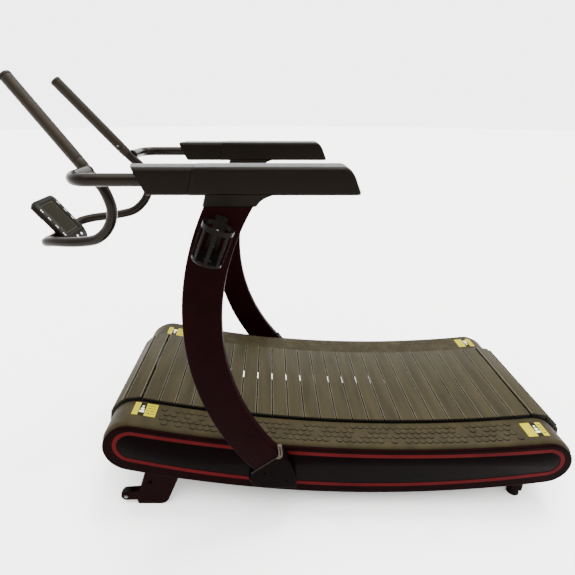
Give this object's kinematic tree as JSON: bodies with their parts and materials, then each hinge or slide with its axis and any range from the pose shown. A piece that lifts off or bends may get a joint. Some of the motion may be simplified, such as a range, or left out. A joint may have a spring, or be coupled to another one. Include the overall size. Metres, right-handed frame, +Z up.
{
  "type": "curved manual treadmill",
  "caption": "Curved manual treadmill: slat belt round four pulleys between side frames, sweeping posts, side arms, bullhorn grips, console and bottle cage.",
  "frame": {"origin": "on the floor under the centre of the machine's bounding box", "axes": "+X towards the rear of the machine, +Y to the runner's right, +Z up; the runner faces -X"},
  "size_m": [2.0668, 0.9606, 1.5891],
  "materials": {
    "slat_rubber": "ribbed slats with a fine grain, warm grey olive",
    "cover_plastic": "moulded foot rail with raised overlapping scales",
    "panel_plastic": "near-black moulded panel, low sheen",
    "stripe_red": "dark red oblong stripe",
    "label_yellow": null,
    "black_paint": "satin black powder coat",
    "arm_plastic": "textured black moulding",
    "boot_plastic": "satin black moulding",
    "grip_foam": "closed-cell foam sleeve",
    "frame_steel": "matt black painted steel",
    "bare_steel": "bright zinc-plated steel",
    "pulley_aluminium": "turned aluminium",
    "wheel_rubber": "black rubber",
    "console_plastic": "black console moulding",
    "screen_glass": "olive liquid-crystal display, off",
    "key_plastic": "white rubber keys",
    "cage_plastic": "black plastic bottle cage"
  },
  "bodies": {
    "machine": {"side_frame_left": "frame_steel", "bearing_rail_left": "bare_steel", "front_bearing_left": "bare_steel", "rear_bearing_left": "bare_steel", "side_panel_left": "panel_plastic", "top_cover_left": "cover_plastic", "post_left": "black_paint", "post_boot_left": "boot_plastic", "arm_left": "arm_plastic", "arm_sleeve_left": "arm_plastic", "handlebar_left": "black_paint", "grip_tube_left": "black_paint", "foam_grip_left": "grip_foam", "grip_cap_left": "grip_foam", "front_leg_left": "black_paint", "wheel_axle_left": "bare_steel", "rear_leg_left": "frame_steel", "side_frame_right": "frame_steel", "bearing_rail_right": "bare_steel", "front_bearing_right": "bare_steel", "rear_bearing_right": "bare_steel", "side_panel_right": "panel_plastic", "top_cover_right": "cover_plastic", "post_right": "black_paint", "post_boot_right": "boot_plastic", "arm_right": "arm_plastic", "arm_sleeve_right": "arm_plastic", "handlebar_right": "black_paint", "grip_tube_right": "black_paint", "foam_grip_right": "grip_foam", "grip_cap_right": "grip_foam", "front_leg_right": "black_paint", "wheel_axle_right": "bare_steel", "rear_leg_right": "frame_steel", "front_crossmember": "frame_steel", "middle_crossmember": "frame_steel", "rear_crossmember": "frame_steel", "slat_belt": "slat_rubber", "speed_sensor": "console_plastic", "console_crossbar": "black_paint", "console_housing": "console_plastic", "console_face": "console_plastic", "console_screen": "screen_glass", "console_bracket": "frame_steel", "bottle_cage": "cage_plastic"},
    "front_shaft": {"front_axle": "bare_steel", "front_pulley_left": "pulley_aluminium", "front_pulley_right": "pulley_aluminium"},
    "rear_shaft": {"rear_axle": "bare_steel", "rear_pulley_left": "pulley_aluminium", "rear_pulley_right": "pulley_aluminium"},
    "wheel_left": {"transport_wheel_left": "wheel_rubber"},
    "wheel_right": {"transport_wheel_right": "wheel_rubber"},
    "foot_left": {"rear_foot_left": "wheel_rubber"},
    "foot_right": {"rear_foot_right": "wheel_rubber"},
    "button_1": {"console_button_1": "key_plastic"},
    "button_2": {"console_button_2": "key_plastic"},
    "button_3": {"console_button_3": "key_plastic"},
    "button_4": {"console_button_4": "key_plastic"},
    "button_5": {"console_button_5": "key_plastic"}
  },
  "joints": [
    {"name": "front_shaft_spin", "type": "hinge", "parent": "machine", "child": "front_shaft", "pos_m": [-0.67169, 0.0433, 0.302], "axis": [0, 1, 0], "continuous": true},
    {"name": "rear_shaft_spin", "type": "hinge", "parent": "machine", "child": "rear_shaft", "pos_m": [0.91231, 0.0433, 0.219], "axis": [0, 1, 0], "continuous": true},
    {"name": "wheel_left_spin", "type": "hinge", "parent": "machine", "child": "wheel_left", "pos_m": [-0.71969, -0.31235, 0.04], "axis": [0, 1, 0], "continuous": true},
    {"name": "wheel_right_spin", "type": "hinge", "parent": "machine", "child": "wheel_right", "pos_m": [-0.71969, 0.39895, 0.04], "axis": [0, 1, 0], "continuous": true},
    {"name": "foot_left_screw", "type": "slide", "parent": "machine", "child": "foot_left", "axis": [0, 0, -1], "range_m": [0, 0.015]},
    {"name": "foot_right_screw", "type": "slide", "parent": "machine", "child": "foot_right", "axis": [0, 0, -1], "range_m": [0, 0.015]},
    {"name": "button_1_press", "type": "slide", "parent": "machine", "child": "button_1", "axis": [-0.9409, 0, -0.3387], "range_m": [0, 0.0015], "stiffness_N_per_m": 400},
    {"name": "button_2_press", "type": "slide", "parent": "machine", "child": "button_2", "axis": [-0.9409, 0, -0.3387], "range_m": [0, 0.0015], "stiffness_N_per_m": 400},
    {"name": "button_3_press", "type": "slide", "parent": "machine", "child": "button_3", "axis": [-0.9409, 0, -0.3387], "range_m": [0, 0.0015], "stiffness_N_per_m": 400},
    {"name": "button_4_press", "type": "slide", "parent": "machine", "child": "button_4", "axis": [-0.9409, 0, -0.3387], "range_m": [0, 0.0015], "stiffness_N_per_m": 400},
    {"name": "button_5_press", "type": "slide", "parent": "machine", "child": "button_5", "axis": [-0.9409, 0, -0.3387], "range_m": [0, 0.0015], "stiffness_N_per_m": 400}
  ],
  "couplings": [
    {"joint": "rear_shaft_spin", "follows": "front_shaft_spin", "ratio": 1}
  ]
}
